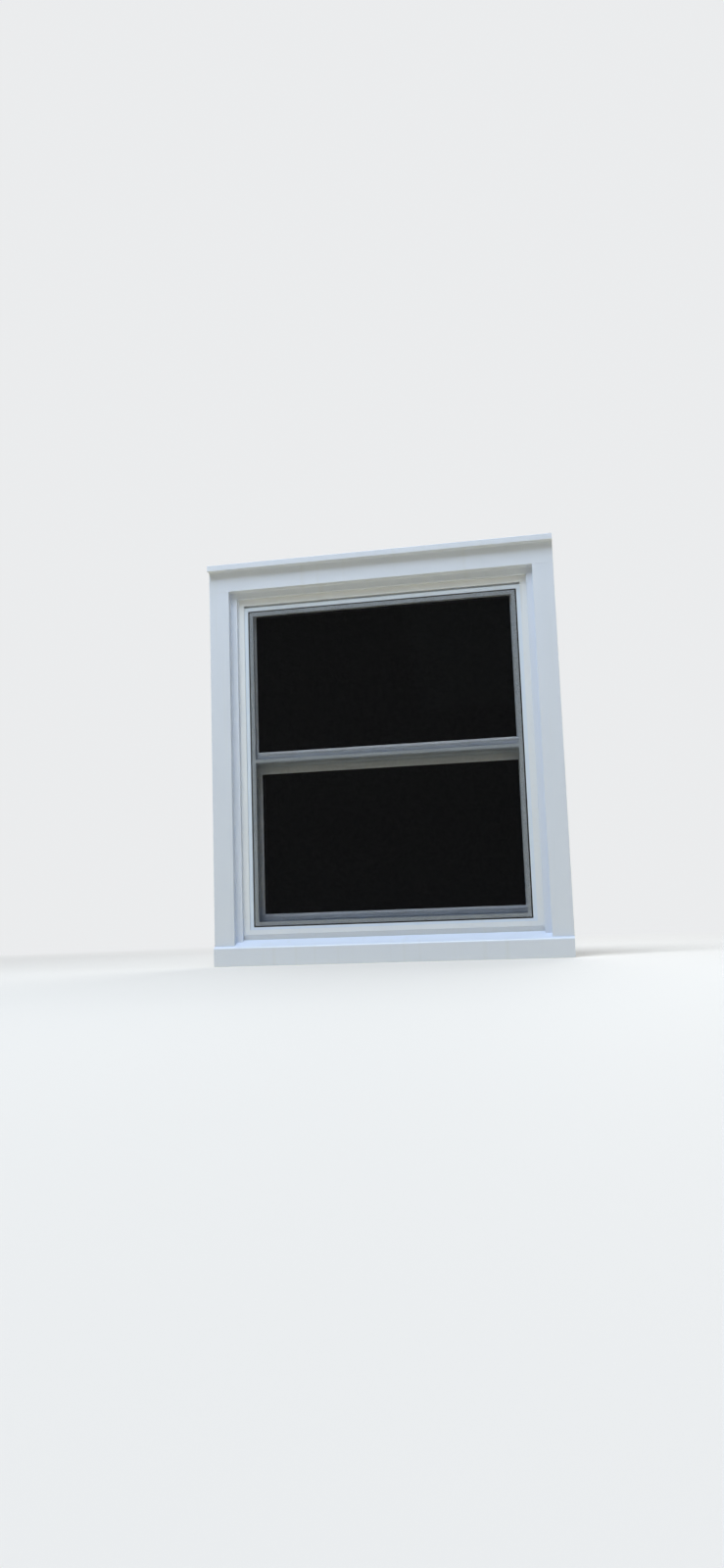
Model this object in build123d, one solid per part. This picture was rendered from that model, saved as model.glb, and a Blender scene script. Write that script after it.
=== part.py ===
from build123d import *
import math
import os

# Sash window: a vinyl double-hung unit with a full insect screen, set in a wood frame
# whose outside casing, sill and cap are covered with folded aluminium.
# Millimetres. +X is to the right seen from outside, +Y runs into the house, +Z is up.
# Y = 0 is the plane of the wall sheathing, and the origin is the middle of the face
# with which the sill bears on it.

# Vinyl unit
unit_width = 838.2
unit_height = 974.7
vinyl_wall = 2.0
face_lip = 2.2
face_reach = 27.0
screen_pocket = 10.5
screen_seat = 24.1
screen_rib = 1.8
screen_rib_reach = 31.0
track_width = 30.6
track_floor = 22.1
parting_rib = 2.6
rib_reach = 33.1
inner_lip = 4.3
pocket_width = 22.0
slot_width = 13.0
sill_screen_floor = 23.2
sill_seat = 21.7
sill_drain = 16.0

# Sashes
sash_depth = 29.0
sash_side_gap = 3.0
sash_head_gap = 2.4
sash_sill_gap = 0.8
stile_box = 13.0
bottom_rail_box = 28.6
check_rail_box = 18.4
bead_width = 19.0
check_overlap = 11.3
sash_travel = 400.0
pane = 3.1
air_space = 9.7
bead_depth = 4.2
bead_joint = 0.5
bead_bevel = 6.5
bead_quirk = 0.7
bead_edge = 3.5
bead_round = 1.0
glass_gap = 0.3
glass_cover = 15.0
leg_depth = 2.6
leg_shoulder = 7.0
pile_width = 4.5
pile_kerf = 1.0
pile_inset = 2.5
fin_base = 1.0
fin_wall = 1.2
fin_out = 3.4
fin_tip = 8.5
fin_end_gap = 2.0
hook_out = 3.6
hook_wall = 1.1
hook_drop = 6.5
leg_hollow = 5.0
leg_corner = 1.0
lift_height = 16.0
lift_out = 11.0
lift_wall = 2.0
lift_lip = 5.0
lift_draft = 0.5
lift_root = 4.0
lift_shoulder = 1.0
lift_foot = 6.0
lift_end = 4.0
spacer_inset = 1.0
spacer_width = 6.5
pile_gap = 0.2
pile_end = 20.0
seal_width = 10.0
seal_end = 40.0
seal_skin = 0.05
toe_setback = 6.0
toe_rise = 12.0
toe_step = 1.5
toe_top = 14.0
drain_fall = 2.5
sill_chamber = 8.0
web_half = 1.0

# Insect screen
screen_bar = 25.4
screen_depth = 9.5
screen_wall = 0.7
screen_side_gap = 2.6
screen_lift_gap = 8.1
spline_inset = 10.9
spline_width = 4.0
groove_depth = 5.0
mesh_thickness = 0.35
cross_height = 9.5
cross_depth = 8.0
cross_rise = 1.0
tab_inset = 15.7
tab_gap = 0.1
spline_drop = 0.6
spline_round = 0.9
key_gap = 0.2
key_leg = 45.0

# Wood frame and its aluminium
unit_face = 9.5
shim_gap = 9.7
head_gap = 11.3
seat_height = 69.5
sill_base = -14.0
sill_back = 27.0
sill_nose = 27.0
sill_slope = 28.0
nose_radius = 6.0
jamb_board = 19.0
wall_depth = 116.0
casing_face = 56.2
casing_board = 19.0
head_casing = 58.5
cap_height = 18.5
cap_projection = 18.0
cap_fall = 2.0
side_stop = 18.2
head_stop = 19.0
inner_stop_width = 16.5
inner_stop_depth = 11.0
stop_round = 6.5
sheet = 0.6
bend = 1.2
arris = 1.0
seal_gap = 0.3
stop_gap = 0.1
sill_hem = 8.0
wall_hole = 3.0
wall_hole_spacing = 700.0

# Hardware
latch_width = 10.0
latch_height = 7.1
latch_length = 54.0
latch_reach = 5.0
latch_travel = 8.0
button_inset = 12.0
button_length = 14.0
button_width = 7.0
button_rise = 1.5
button_root = 0.5
button_ribs = 3
rib_pitch = 3.0
rib_width = 1.0
rib_depth = 0.6
latch_gap = 0.3
latch_roof_gap = 0.1
latch_top_gap = 0.2
latch_end_gap = 1.0
nose_flat = 1.0
nose_length = 5.0
bar_width = 9.0
bar_height = 5.0
bar_length = 40.0
bar_reach = 13.0
bar_rise = 1.0
bar_chamfer = 1.0
bar_gap = 0.2
bar_end_gap = 1.0
bar_fit = 0.15
shoe_height = 50.0
shoe_gap = 0.5
shoe_rise = 0.5
shoe_chamfer = 1.5
ring_outer = 1.6
ring_inner = 1.0
ring_deep = 1.0
ring_rise = 1.5
coil_height = 45.0
coil_gap = 0.3
drum_outer = 9.5
drum_inner = 6.0
drum_deep = 4.0
lower_coil = 542.0
upper_coil_drop = 80.0
tape_width = 12.0
tape_thickness = 0.4
lock_offset = 190.0
lock_setback = 8.0
lock_angle = 100.0
cam_radius = 17.0
cam_rim = 2.5
cam_height = 4.0
cam_half_angle = 30.0
cam_gap = 0.3
outward = -90.0
web_turn = 20.0
web_half_angle = 25.0
hub_radius = 7.0
lever_turn = 90.0
lever_root = 5.0
lever_tip = 3.2
lever_taper = 24.0
lever_length = 30.0
lever_height = 4.5
hook_gap = 0.3
hook_rim = 2.2
keeper_base = 2.5
keeper_roof = 1.4
hook_half_angle = 22.0
keeper_half = 22.0
keeper_gap = 0.2
lock_base_height = 3.0
screw_shank = 2.1
screw_head = 4.2
screw_skin = 0.05
screw_length = 25.0
screw_point = 3.0
screw_tip = 0.3
head_rise = 1.2
head_dome = 1.0
dome_taper = 35.0
outer_low_screw = 45.5
outer_high_share = 0.75
inner_low_share = 0.71
inner_screw_drop = 54.2
drill_length = 60.0
drill_start = 10.0
shim_front = 15.0
shim_back = 8.0
shim_reach = 20.0
base_length = 62.0
base_width = 22.0
base_round = 8.0
base_setback = 13.0
small_chamfer = 0.8
past_all = 300.0
past_end = 50.0
past_cut = 1.0
edge_match = 0.01

# Heights and half widths that follow from the sizes above
half_unit = unit_width / 2
half_opening = half_unit + shim_gap
half_overall = half_opening + casing_face
seat = sill_base + seat_height
unit_top = seat + unit_height
head_under = unit_top + head_gap
casing_top = head_under + head_casing
unit_depth = face_lip + screen_pocket + screen_rib + 2 * track_width + parting_rib + inner_lip
unit_back = unit_face + unit_depth
wood_face = -casing_board
face = wood_face - sheet
slope_tan = math.tan(math.radians(sill_slope))
nose_top = seat - (sill_nose + unit_face) * slope_tan

sash_half = half_unit - track_floor - sash_side_gap
lower_bottom = seat + sill_seat + sash_sill_gap
upper_top = unit_top - track_floor - sash_head_gap
sash_zone = upper_top - lower_bottom + check_overlap
rail_difference = bottom_rail_box + check_rail_box - 2 * stile_box
upper_height = (sash_zone - rail_difference) / 2
lower_top = lower_bottom + upper_height + rail_difference
upper_bottom = upper_top - upper_height
outer_track = unit_face + face_lip + screen_pocket + screen_rib
inner_track = outer_track + track_width + parting_rib
track_gap = (track_width - sash_depth) / 2
upper_face = outer_track + track_gap
lower_face = inner_track + track_gap
glass_front = bead_depth + glass_gap
glass_back = glass_front + 2 * pane + air_space
leg_front = glass_back + glass_gap
leg_back = leg_front + leg_depth


def outline(*points):
    """Face inside the closed outline through the given points, taken anticlockwise."""
    turn = sum(a[0] * b[1] - b[0] * a[1] for a, b in zip(points, points[1:] + points[:1]))
    return make_face(Polyline(*(points if turn > 0 else points[::-1]), close=True))


def rect(a0, a1, b0, b1):
    """Rectangle between two values of each axis of its plane."""
    return outline((a0, b0), (a1, b0), (a1, b1), (a0, b1))


def block(x0, x1, y0, y1, z0, z1):
    """Straight block between two corners."""
    return Pos((x0 + x1) / 2, (y0 + y1) / 2, (z0 + z1) / 2) * Box(x1 - x0, y1 - y0, z1 - z0)


def along_x(section, x0, x1):
    """Length along X of a section drawn in (y, z)."""
    plane = Plane(origin=(x0, 0, 0), x_dir=(0, 1, 0), z_dir=(1, 0, 0))
    return extrude(plane * section, amount=x1 - x0)


def along_y(section, y0, y1):
    """Length along Y of a section drawn in (x, z)."""
    plane = Plane(origin=(0, y1, 0), x_dir=(1, 0, 0), z_dir=(0, -1, 0))
    return extrude(plane * section, amount=y1 - y0)


def along_z(section, z0, z1):
    """Length along Z of a section drawn in (x, y)."""
    return extrude(Pos(0, 0, z0) * section, amount=z1 - z0)


def rounded(section, radius, *corners):
    """The section with the corners at the given points rounded."""
    for x, y in corners:
        section = fillet(section.vertices().sort_by_distance((x, y, 0))[0], radius)
    return section


def mirrored(solid):
    """The solid and its mirror image about the middle of the window."""
    return Compound([solid, mirror(solid, about=Plane.YZ)])


def folded(*points):
    """Sheet metal bent along an open outline, with the metal on the left of the outline."""
    line = FilletPolyline(*points, radius=bend)
    return make_face(offset(line, amount=sheet, side=Side.LEFT, closed=True).edges())


def mitre(side, box, reach):
    """Prism that holds one member of a rectangular frame, cut at 45 degrees from its inner corners."""
    x0, x1, z0, z1 = box
    inner = {"left": x0 + reach["left"], "right": x1 - reach["right"],
             "bottom": z0 + reach["bottom"], "top": z1 - reach["top"]}
    ends = {"left": ("bottom", "top"), "right": ("bottom", "top"),
            "bottom": ("left", "right"), "top": ("left", "right")}[side]
    outer = {"left": x0, "right": x1, "bottom": z0, "top": z1}
    away = {"left": -1, "right": 1, "bottom": -1, "top": 1}
    upright = side in ("left", "right")
    first, last = [], []
    for end, run in zip(ends, (first, last)):
        cut = min(reach[side], reach[end])
        along, across = inner[end], inner[side]
        run.append((along, across))
        run.append((along + away[end] * cut, across + away[side] * cut))
        if reach[side] > reach[end]:
            run.append((outer[end], outer[side]))
    run = first + last[::-1]
    points = [(b, a) if upright else (a, b) for a, b in run]
    return along_y(outline(*points), -past_all, past_all)


def member(side, box, section, reach):
    """One mitred length of a rectangular frame.

    The section is drawn in (distance in from the outer edge, depth along Y).
    """
    x0, x1, z0, z1 = box
    plane, length = {
        "left": (Plane(origin=(x0, 0, z0), x_dir=(1, 0, 0), z_dir=(0, 0, 1)), z1 - z0),
        "right": (Plane(origin=(x1, 0, z1), x_dir=(-1, 0, 0), z_dir=(0, 0, -1)), z1 - z0),
        "bottom": (Plane(origin=(x1, 0, z0), x_dir=(0, 0, 1), z_dir=(-1, 0, 0)), x1 - x0),
        "top": (Plane(origin=(x0, 0, z1), x_dir=(0, 0, -1), z_dir=(1, 0, 0)), x1 - x0),
    }[side]
    return extrude(plane * section, amount=length) & mitre(side, box, reach)


def even(reach):
    """The same reach on all four sides of a frame."""
    return {"left": reach, "right": reach, "bottom": reach, "top": reach}


def screw_marks():
    """Heights of the jamb screws in the outer and the inner pocket."""
    outer = (seat + outer_low_screw, seat + unit_height * outer_high_share)
    inner = (seat + unit_height * inner_low_share, unit_top - inner_screw_drop)
    return outer, inner


def pocket_middle(track):
    """Depth of the middle of a balance pocket."""
    return track + track_width / 2


def screw_places():
    """Height and depth of each jamb screw on one side."""
    outer, inner = screw_marks()
    places = [(pocket_middle(outer_track), z) for z in outer]
    places += [(pocket_middle(inner_track), z) for z in inner]
    return places


def drill_jamb(solid, side):
    """The solid with the jamb screws' holes in it; side is -1 on the left and 1 on the right."""
    for y, z in screw_places():
        hole = Cylinder(screw_shank, drill_length, align=(Align.CENTER, Align.CENTER, Align.MIN))
        solid -= Pos(side * (half_unit - drill_start), y, z) * Rot(0, side * 90, 0) * hole
    return solid


# Wood frame

def slope_height(y, cover):
    """Height of the sill's slope at a depth, under a cover of the given thickness."""
    return seat - (unit_face - y) * slope_tan - cover / math.cos(math.radians(sill_slope))


def sill_section(cover):
    """Front, underside, nose top, joint and joint height of the sill under a cover."""
    front = -sill_nose + cover
    joint = unit_face - seal_gap
    return front, sill_base + cover, slope_height(front, cover), joint, slope_height(joint, cover)


def sill_envelope():
    """All the space that the covered sill takes, for trimming what stands on it."""
    front, base, top_front, joint, top_back = sill_section(0)
    section = outline((front, base), (front, top_front), (joint, top_back),
                      (joint, seat), (wall_depth, seat), (wall_depth, base))
    return along_x(section, -half_overall - past_end, half_overall + past_end)


def sill_board():
    """Wood sill: sloped weather nose with horns, and a flat seat for the unit between the jambs."""
    front, base, top_front, joint, top_back = sill_section(sheet)
    under = sill_base + sill_back
    nose = outline((front, base), (front, top_front), (0, slope_height(0, sheet)), (0, base))
    nose = rounded(nose, nose_radius, (front, top_front))
    nose = rounded(nose, arris, (front, base))
    middle = outline((0, under), (0, slope_height(0, sheet)), (joint, top_back), (joint, seat),
                     (wall_depth, seat), (wall_depth, under))
    horn = half_overall - sheet
    return along_x(nose, -horn, horn) + along_x(middle, -half_opening, half_opening)


def jambs():
    """Head jamb over the two side jambs, with the side jambs drilled for the unit's screws."""
    back = unit_face - seal_gap
    outer = half_opening + jamb_board
    head = block(-outer, outer, back, wall_depth, head_under, head_under + jamb_board)
    left = block(-outer, -half_opening, back, wall_depth, sill_base + sill_back, head_under)
    right = block(half_opening, outer, back, wall_depth, sill_base + sill_back, head_under)
    nodes = {"head_jamb": head}
    for name, solid, side in (("left_jamb", left, -1), ("right_jamb", right, 1)):
        solid = drill_jamb(solid, side)
        nodes[name] = solid - wall_holes(side)
    return nodes


def wall_holes(side):
    """Holes through a side jamb, room side of the unit, for the screws into the wall framing."""
    hole = Cylinder(wall_hole, drill_length)
    low, high = wall_hole_heights()
    middle = side * (half_opening + jamb_board / 2)
    depth = (unit_back + inner_stop_depth + wall_depth) / 2
    turned = Rot(0, 90, 0) * hole
    return Compound([Pos(middle, depth, low) * turned, Pos(middle, depth, high) * turned])


def wall_hole_heights():
    """Heights of the two wall screw holes in a side jamb."""
    middle = (seat + head_under) / 2
    return middle - wall_hole_spacing / 2, middle + wall_hole_spacing / 2


def blind_stops():
    """Boards behind the casing that the unit's face is set against."""
    back = unit_face - seal_gap
    outer = half_opening + jamb_board
    low = head_under - head_stop
    head = along_x(rounded(rect(0, back, low, head_under + jamb_board), arris, (0, low)), -outer, outer)
    inner = half_opening - side_stop
    side = along_z(rounded(rect(inner, outer, 0, back), arris, (inner, 0)), sill_base, low - sheet)
    side -= sill_envelope()
    return Compound([head, side, mirror(side, about=Plane.YZ)])


def inner_stops():
    """Room side stops with a rounded edge that hold the unit in the frame."""
    y1 = unit_back + inner_stop_depth
    inner = half_opening - inner_stop_width
    under = head_under - inner_stop_width
    side = rounded(rect(inner, half_opening, unit_back, y1), stop_round, (inner, y1))
    side = along_z(side, seat, under)
    head = rounded(rect(unit_back, y1, under, head_under), stop_round, (y1, under))
    head = along_x(head, -half_opening, half_opening)
    return Compound([head, side, mirror(side, about=Plane.YZ)])


def casings():
    """Head casing over two side casings that stand on the sill's horns."""
    outer = half_overall - sheet
    head = rect(wood_face, 0, head_under, casing_top)
    head = along_x(rounded(head, arris, (wood_face, head_under)), -outer, outer)
    right = rect(half_opening, outer, wood_face, 0)
    right = rounded(right, arris, (half_opening, wood_face), (outer, wood_face))
    right = along_z(right, sill_base, head_under)
    right -= sill_envelope()
    return {"head_casing": head, "right_casing": right, "left_casing": mirror(right, about=Plane.YZ)}


def cap_outline(cover):
    """Front, underside and two top heights of the cap, under a cover, with a fall to the front."""
    fall = math.atan2(cap_fall, cap_projection - face)
    front = face - cap_projection + cover
    top = casing_top + cap_height - cover / math.cos(fall)
    return front, casing_top + cover, top + front * math.tan(fall), top


def cap_board():
    """Projecting board on top of the head casing."""
    front, under, top_front, top_back = cap_outline(sheet)
    section = outline((front, under), (front, top_front), (0, top_back), (0, under))
    section = rounded(section, arris, (front, under), (front, top_front))
    return along_x(section, -half_overall, half_overall)


# Aluminium cladding

def cap_cladding():
    """Sheet over the cap's underside, front, top and ends."""
    front, under, top_front, top_back = cap_outline(0)
    section = folded((0, top_back), (front, top_front), (front, under), (face, under))
    section = section & rect(front - past_cut, 0, under - past_cut, top_back + past_cut)
    end = outline((front + sheet, under + bend), (front + sheet, top_front - bend),
                  (front + bend, top_front - sheet), (-seal_gap, top_back - sheet),
                  (-seal_gap, under + sheet), (front + bend, under + sheet))
    body = along_x(section, -half_overall - sheet, half_overall + sheet)
    ends = along_x(end, half_overall, half_overall + sheet)
    return body + ends + mirror(ends, about=Plane.YZ)


def head_cladding():
    """Sheet over the head casing's face and ends, folded in over the blind stop."""
    low = head_under - sheet
    edge = low - head_stop
    inner = half_opening - sheet
    start = low + 2 * bend
    fold = folded((face, start), (face, low), (-sheet, low), (-sheet, edge), (unit_face - seal_gap, edge))
    fold = along_x(fold, -inner, inner)
    front = block(-half_overall, half_overall, face, wood_face, start, casing_top)
    corner = block(inner, half_overall, face, wood_face, low + seal_gap, start)
    end = block(half_overall - sheet, half_overall, wood_face, -seal_gap, low + seal_gap, casing_top)
    ends = corner + end
    return front + fold + ends + mirror(ends, about=Plane.YZ)


def side_cladding():
    """Right sheet over a side casing's edges and face, folded in over its blind stop."""
    edge = half_opening - sheet
    stop = edge - side_stop
    top = head_under - sheet
    section = folded((stop, unit_face - seal_gap), (stop, -sheet), (edge, -sheet), (edge, face),
                     (half_overall, face), (half_overall, -seal_gap))
    solid = along_z(section, sill_base, top) - sill_envelope()
    over = top + past_cut
    corner = block(stop - past_cut, edge, -sheet - stop_gap, unit_face, top - head_stop, over)
    cove = block(stop, edge, -2 * bend, unit_face, top - bend, over)
    return solid - corner - cove


def sill_cladding():
    """Sheet over the sill's slope, rounded nose and front, with a hem under it and end tabs."""
    front, base, top_front, joint, top_back = sill_section(0)
    past = joint + 2 * past_cut
    line = FilletPolyline((past, slope_height(past, 0)), (front, top_front), (front, base),
                          (front + sill_hem, base), radius=[nose_radius + sheet, bend])
    section = make_face(offset(line, amount=sheet, side=Side.LEFT, closed=True).edges())
    reach = half_opening - side_stop - sheet
    low = base - past_cut
    keep = block(-half_overall, half_overall, front - past_cut, 0, low, seat)
    keep += block(-reach, reach, -past_cut, joint, low, seat)
    solid = along_x(section, -half_overall, half_overall) & keep
    tab = outline((front, base), (front, top_front), (-seal_gap, slope_height(-seal_gap, 0)),
                  (-seal_gap, base))
    tab = rounded(tab, nose_radius + sheet, (front, top_front))
    tab = tab & rect(front, 0, base + bend, seat)
    tab = along_x(tab, half_overall - sheet, half_overall)
    return solid + tab + mirror(tab, about=Plane.YZ)


# Vinyl unit

def jamb_section(pockets):
    """Hollow section of the unit's head and jambs, with balance pockets in the jambs."""
    v1 = face_lip
    v2 = v1 + screen_pocket
    v3 = v2 + screen_rib
    v4 = v3 + track_width
    v5 = v4 + parting_rib
    v6 = v5 + track_width
    section = outline(
        (0, 0), (face_reach, 0), (face_reach, v1), (screen_seat, v1), (screen_seat, v2),
        (screen_rib_reach, v2), (screen_rib_reach, v3), (track_floor, v3), (track_floor, v4),
        (rib_reach, v4), (rib_reach, v5), (track_floor, v5), (track_floor, v6),
        (rib_reach, v6), (rib_reach, unit_depth), (0, unit_depth))
    deep = track_floor - vinyl_wall
    first = (v3 + track_width / 2 - pocket_width / 2, v3 + track_width / 2 + pocket_width / 2)
    second = (first[0] + v5 - v3, first[1] + v5 - v3)
    chambers = [(vinyl_wall, first[0] - vinyl_wall), (first[1] + vinyl_wall, second[0] - vinyl_wall),
                (second[1] + vinyl_wall, unit_depth - vinyl_wall)]
    chambers += [first, second]
    for start, end in chambers:
        section -= rect(vinyl_wall, deep, start, end)
    if pockets:
        for start, end in (first, second):
            middle = (start + end) / 2
            section -= rect(deep - past_cut, track_floor + past_cut,
                            middle - slot_width / 2, middle + slot_width / 2)
    return Pos(0, unit_face) * section


def unit_sill_section():
    """Hollow section of the unit's sill: screen channel, drained outer track and sash seat."""
    v1 = face_lip
    v2 = v1 + screen_pocket
    v3 = v2 + screen_rib
    v4 = v3 + track_width
    v5 = v4 + parting_rib
    v6 = v5 + track_width
    high = sill_drain + drain_fall
    section = outline(
        (0, toe_setback), (toe_rise, toe_step), (toe_top, 0), (face_reach, 0), (face_reach, v1),
        (sill_screen_floor, v1), (sill_screen_floor, v2), (face_reach, v2), (face_reach, v3),
        (sill_drain, v3), (high, v4),
        (sill_seat, v4), (sill_seat, v6), (rib_reach, v6), (rib_reach, unit_depth), (0, unit_depth))
    low = sill_drain - vinyl_wall
    for start, end, top in ((sill_chamber, v2 - web_half, sill_screen_floor - vinyl_wall),
                            (v2 + web_half, v4 - web_half, low),
                            (v4 + web_half, v6 - 2 * web_half, sill_seat - vinyl_wall)):
        section -= rect(vinyl_wall, top, start, end)
    return Pos(0, unit_face) * section


def unit_frame():
    """Head, jambs and sill of the vinyl unit, mitred at the corners."""
    box = (-half_unit, half_unit, seat, unit_top)
    reach = even(rib_reach)
    left = drill_jamb(member("left", box, jamb_section(True), reach), -1)
    return {
        "unit_head": member("top", box, jamb_section(False), reach),
        "unit_sill": member("bottom", box, unit_sill_section(), reach),
        "unit_left_jamb": left,
        "unit_right_jamb": mirror(left, about=Plane.YZ),
    }


def shims():
    """Packers between the unit and the wood jambs at the screws."""
    outer, inner = screw_marks()
    solids = []
    for low, high in ((outer[0], outer[0]), (inner[0], outer[1]), (inner[1], inner[1])):
        shim = block(half_unit, half_opening, unit_face + shim_front, unit_back - shim_back,
                     low - shim_reach, high + shim_reach)
        solids.append(drill_jamb(shim, 1))
    return Compound(solids + [mirror(s, about=Plane.YZ) for s in solids])


def jamb_screw():
    """Pan head screw lying along +X from under its head."""
    dome = Pos(0, 0, -head_rise) * Circle(screw_head)
    head = extrude(Circle(screw_head), amount=-head_rise)
    head += extrude(dome, amount=-head_dome, taper=dome_taper)
    radius = screw_shank - screw_skin
    point = Cone(radius, screw_tip, screw_point, align=(Align.CENTER, Align.CENTER, Align.MIN))
    shank = extrude(Circle(radius), amount=screw_length) + Pos(0, 0, screw_length) * point
    return Rot(0, 90, 0) * (head + shank)


def jamb_screws():
    """Screws from the balance pockets through the shims into the wood jambs."""
    solids = []
    for y, z in screw_places():
        screw = Pos(half_unit - vinyl_wall, y, z) * jamb_screw()
        solids += [screw, mirror(screw, about=Plane.YZ)]
    return Compound(solids)


# Insect screen

def screen_box():
    """Outer edges of the screen's frame."""
    half = half_unit - screen_seat - screen_side_gap
    return (-half, half, seat + sill_screen_floor, unit_top - screen_seat - screen_lift_gap)


def screen_front():
    """Depth of the screen's outside face."""
    return unit_face + face_lip + (screen_pocket - screen_depth) / 2


def screen_section():
    """Roll formed tube with a groove for the spline in its outside face."""
    a, b = spline_inset, spline_inset + spline_width
    w = screen_wall
    tube = outline((0, 0), (a, 0), (a, groove_depth), (b, groove_depth), (b, 0), (screen_bar, 0),
                   (screen_bar, screen_depth), (0, screen_depth))
    inside = outline((w, w), (a - w, w), (a - w, groove_depth + w), (b + w, groove_depth + w),
                     (b + w, w), (screen_bar - w, w), (screen_bar - w, screen_depth - w),
                     (w, screen_depth - w))
    return Pos(0, screen_front()) * (tube - inside)


def screen():
    """Bars, corner keys, cross bar, spline and mesh of the insect screen."""
    box = screen_box()
    reach = even(screen_bar)
    section = screen_section()
    nodes = {"screen_" + name: member(side, box, section, reach)
             for name, side in (("top_bar", "top"), ("bottom_bar", "bottom"),
                                ("left_bar", "left"), ("right_bar", "right"))}
    notches = mirrored(tab_place(box, 0))
    for name in ("screen_left_bar", "screen_right_bar"):
        nodes[name] -= notches
    nodes["screen_cross_bar"] = cross_bar(box)
    nodes["screen_spline"] = screen_spline(box)
    nodes["screen_mesh"] = screen_mesh(box)
    nodes["screen_corner_keys"] = corner_keys(box)
    return nodes


def inset(box, amount):
    """Rectangle drawn in by an amount on all sides."""
    x0, x1, z0, z1 = box
    return (x0 + amount, x1 - amount, z0 + amount, z1 - amount)


def ring(outer, inner, y0, y1):
    """Flat ring between two rectangles."""
    return along_y(rect(*outer) - rect(*inner), y0, y1)


def screen_spline(box):
    """Cord that fills the groove and holds the mesh."""
    front = screen_front() + spline_drop
    outer = inset(box, spline_inset)
    inner = inset(box, spline_inset + spline_width)
    cord = ring(outer, inner, front, screen_front() + groove_depth)
    edges = cord.edges().filter_by(lambda e: abs(e.center().Y - front) < edge_match)
    return fillet(edges, spline_round)


def screen_mesh(box):
    """Sheet of woven mesh over the bars' inner lips."""
    area = inset(box, spline_inset + spline_width)
    front = screen_front()
    return along_y(rect(*area), front - mesh_thickness, front)


def corner_keys(box):
    """Right angle keys inside the bars' outer chambers."""
    wide = spline_inset - 2 * screen_wall - 2 * key_gap
    y0 = screen_front() + screen_wall + key_gap
    y1 = screen_front() + screen_depth - screen_wall - key_gap
    start = screen_wall + key_gap
    leg = key_leg
    x0, x1, z0, z1 = box
    shape = outline((start, start), (leg, start), (leg, start + wide), (start + wide, start + wide),
                    (start + wide, leg), (start, leg))
    key = Pos(x0, 0, z0) * along_y(shape, y0, y1)
    low = [key, mirror(key, about=Plane.YZ)]
    middle = Plane(origin=(0, 0, (z0 + z1) / 2), z_dir=(0, 0, 1))
    return Compound(low + [mirror(k, about=middle) for k in low])


def cross_heights():
    """Lower and upper edge of the cross bar, level with the foot of the upper sash."""
    low = upper_bottom + cross_rise
    return low, low + cross_height


def tab_place(box, gap):
    """Space of the cross bar's right end tab in the side bar's inner lip, less a gap at its end."""
    low, high = cross_heights()
    front = screen_front()
    return block(box[1] - screen_bar, box[1] - tab_inset - gap, front, front + screen_wall, low, high)


def cross_bar(box):
    """Flat tube between the side bars, whose end tabs lie in their inner lips."""
    low, high = cross_heights()
    front = screen_front()
    back = front + cross_depth
    w = screen_wall
    section = rect(front, back, low, high) - rect(front + w, back - w, low + w, high - w)
    tab = tab_place(box, tab_gap)
    tube = along_x(section, box[0] + screen_bar, box[1] - screen_bar)
    return tube + tab + mirror(tab, about=Plane.YZ)


# Sashes

def sash_section(box):
    """Hollow sash section: a box along the outer edge and a bevelled leg behind the glass."""
    w = vinyl_wall
    reach = box + bead_width
    shoulder = box + leg_shoulder
    section = outline((0, 0), (box, 0), (box, leg_front), (reach, leg_front), (reach, leg_back),
                      (shoulder, sash_depth), (0, sash_depth))
    web = sash_depth / 2
    section -= rect(w, box - w, w, web - w / 2)
    section -= rect(w, box - w, web + w / 2, sash_depth - w)
    inner = leg_front + w
    back = sash_depth - w - leg_corner
    section -= outline((box + w, inner), (shoulder + leg_hollow, inner), (shoulder - leg_corner, back),
                       (box + w, back))
    return section


def with_kerfs(section):
    """The section with the two grooves for the pile strips in its outer edge."""
    for start in pile_places():
        section -= rect(-past_cut, pile_kerf, start, start + pile_width)
    return section


def pile_places():
    """Depths at which the two pile strips start."""
    return (pile_inset, sash_depth - pile_inset - pile_width)


def check_section():
    """Upper sash's check rail: a low ledge towards the room for the keepers, and an upturned fin."""
    box = stile_box
    w = vinyl_wall
    reach = box + bead_width
    ledge = check_overlap
    section = outline((0, 0), (box, 0), (box, leg_front), (reach, leg_front), (reach, leg_back),
                      (ledge, leg_back), (ledge, sash_depth), (0, sash_depth))
    web = sash_depth / 2
    section -= rect(w, box - w, w, web - w / 2)
    section -= rect(w, ledge - w, web + w / 2, sash_depth - w)
    end = sash_depth + fin_out
    fin = outline((fin_base, sash_depth), (fin_base, end), (fin_tip, end), (fin_tip, end - fin_wall),
                  (fin_base + fin_wall, end - fin_wall), (fin_base + fin_wall, sash_depth))
    return section, fin


def lower_check_fin():
    """Downturned fin on the lower sash's check rail, drawn from its top edge."""
    return outline((0, 0), (0, -hook_out), (hook_drop, -hook_out), (hook_drop, -hook_out + hook_wall),
                   (fin_wall, -hook_out + hook_wall), (fin_wall, 0))


def fin_half():
    """Half length of the check rails' fins, short of the jambs' ribs."""
    return half_unit - rib_reach - fin_end_gap


def lift_section():
    """Finger lift on the room face of the bottom rail, drawn from its bottom edge."""
    low = lift_height
    end = sash_depth + lift_out
    return outline((low, sash_depth), (low - lift_wall, end - lift_wall), (low - lift_lip, end - lift_wall),
                   (low - lift_lip, end), (low + lift_draft, end),
                   (low + lift_root, sash_depth + lift_shoulder), (low + lift_foot, sash_depth))


def sash_boxes():
    """Outer rectangles of the lower and upper sash."""
    lower = (-sash_half, sash_half, lower_bottom, lower_top)
    upper = (-sash_half, sash_half, upper_bottom, upper_top)
    return lower, upper


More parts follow.
